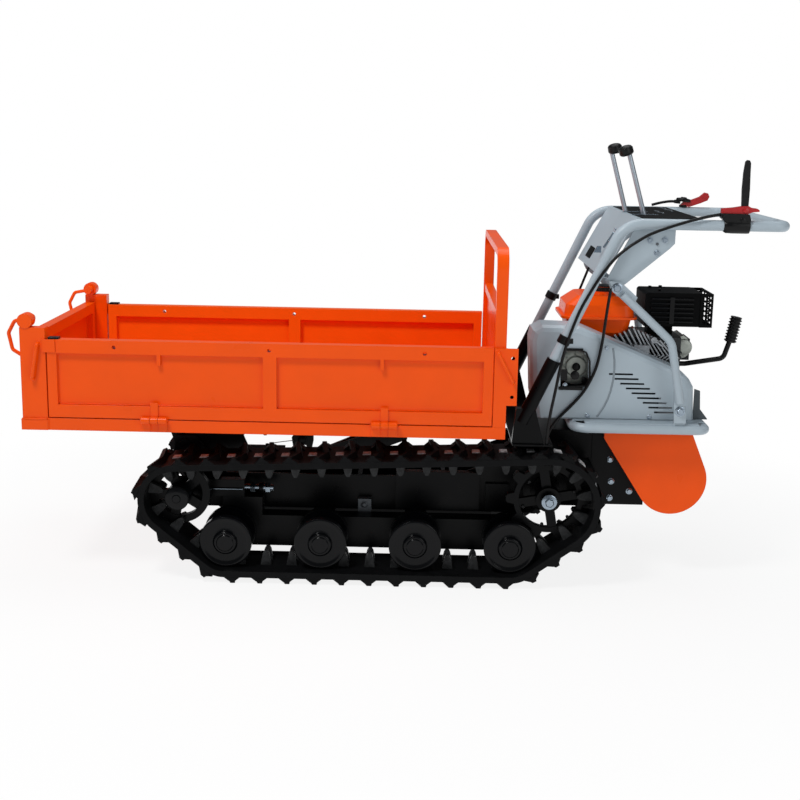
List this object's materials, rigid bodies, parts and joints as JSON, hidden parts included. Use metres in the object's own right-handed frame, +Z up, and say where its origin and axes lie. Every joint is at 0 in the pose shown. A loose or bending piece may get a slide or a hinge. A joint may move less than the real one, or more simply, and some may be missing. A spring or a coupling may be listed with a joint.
{
  "type": "crawler carrier",
  "caption": "Walk-behind tracked carrier with a tipping drop-side bed, a headboard hoop, a rear engine and a push-bar handle.",
  "frame": {"origin": "middle of the overall box on the ground", "axes": "+X to the operator's end, +Y to the machine's far side in the picture, +Z up"},
  "size_m": [2.0433, 0.736, 1.1875],
  "materials": {
    "black_paint": "satin",
    "grey_paint": "satin",
    "orange_paint": "gloss",
    "red_paint": "gloss",
    "track_rubber": "matt",
    "bare_steel": "plated",
    "black_plastic": "matt",
    "cast_metal": "as cast"
  },
  "bodies": {
    "machine": {"chassis": "black_paint", "track_near": "track_rubber", "track_far": "track_rubber", "sprocket_near": "black_paint", "sprocket_far": "black_paint", "idler_near": "black_paint", "idler_far": "black_paint", "rollers_near": "black_paint", "rollers_far": "black_paint", "roller_beams": "black_paint", "tensioners": "black_paint", "final_drives": "black_paint", "stem_sockets": "black_paint", "gussets": "grey_paint", "struts": "grey_paint", "handle": "grey_paint", "cross_beam": "black_paint", "console": "grey_paint", "base_frame": "grey_paint", "engine": "cast_metal", "fuel_tank": "orange_paint", "muffler": "black_paint", "side_cover": "grey_paint", "rear_guard": "orange_paint", "drive_box": "black_paint", "guard_bracket": "black_paint", "end_plate": "black_paint", "drive_levers": "bare_steel", "throttle": "red_paint", "clutch": "black_plastic", "crank_lever": "black_plastic", "control_cables": "black_plastic"},
    "bed": {"bed_floor": "orange_paint", "bed_brackets": "black_paint", "front_posts": "orange_paint", "rear_posts": "orange_paint", "hoop": "orange_paint", "headboard": "orange_paint"},
    "board_near": {"side_board_near": "orange_paint"},
    "board_far": {"side_board_far": "orange_paint"},
    "gate_body": {"gate": "orange_paint"},
    "barrel": {"lift_barrel": "black_paint"},
    "rod": {"lift_rod": "bare_steel"}
  },
  "joints": [
    {"name": "bed_tip", "type": "hinge", "parent": "machine", "child": "bed", "pos_m": [-0.591, 0, 0.333], "axis": [0, -1, 0], "range_deg": [0, 45]},
    {"name": "board_drop_near", "type": "hinge", "parent": "bed", "child": "board_near", "pos_m": [-0.3205, -0.359, 0.452], "axis": [1, 0, 0], "range_deg": [0, 180]},
    {"name": "board_drop_far", "type": "hinge", "parent": "bed", "child": "board_far", "pos_m": [-0.3205, 0.359, 0.452], "axis": [-1, 0, 0], "range_deg": [0, 180]},
    {"name": "gate_swing", "type": "hinge", "parent": "bed", "child": "gate_body", "pos_m": [-0.958, 0, 0.708], "axis": [0, 1, 0], "range_deg": [0, 90]},
    {"name": "lift_swing", "type": "hinge", "parent": "machine", "child": "barrel", "pos_m": [-0.285, 0, 0.235], "axis": [0, -1, 0], "range_deg": [0, 56.14]},
    {"name": "lift_stroke", "type": "slide", "parent": "barrel", "child": "rod", "axis": [0.9176, 0, 0.3976], "range_m": [0, 0.2316]}
  ],
  "couplings": [
    {"joint": "lift_swing", "follows": "bed_tip", "ratio": 1.2365},
    {"joint": "lift_stroke", "follows": "bed_tip", "m_per_rad": 0.2936}
  ]
}
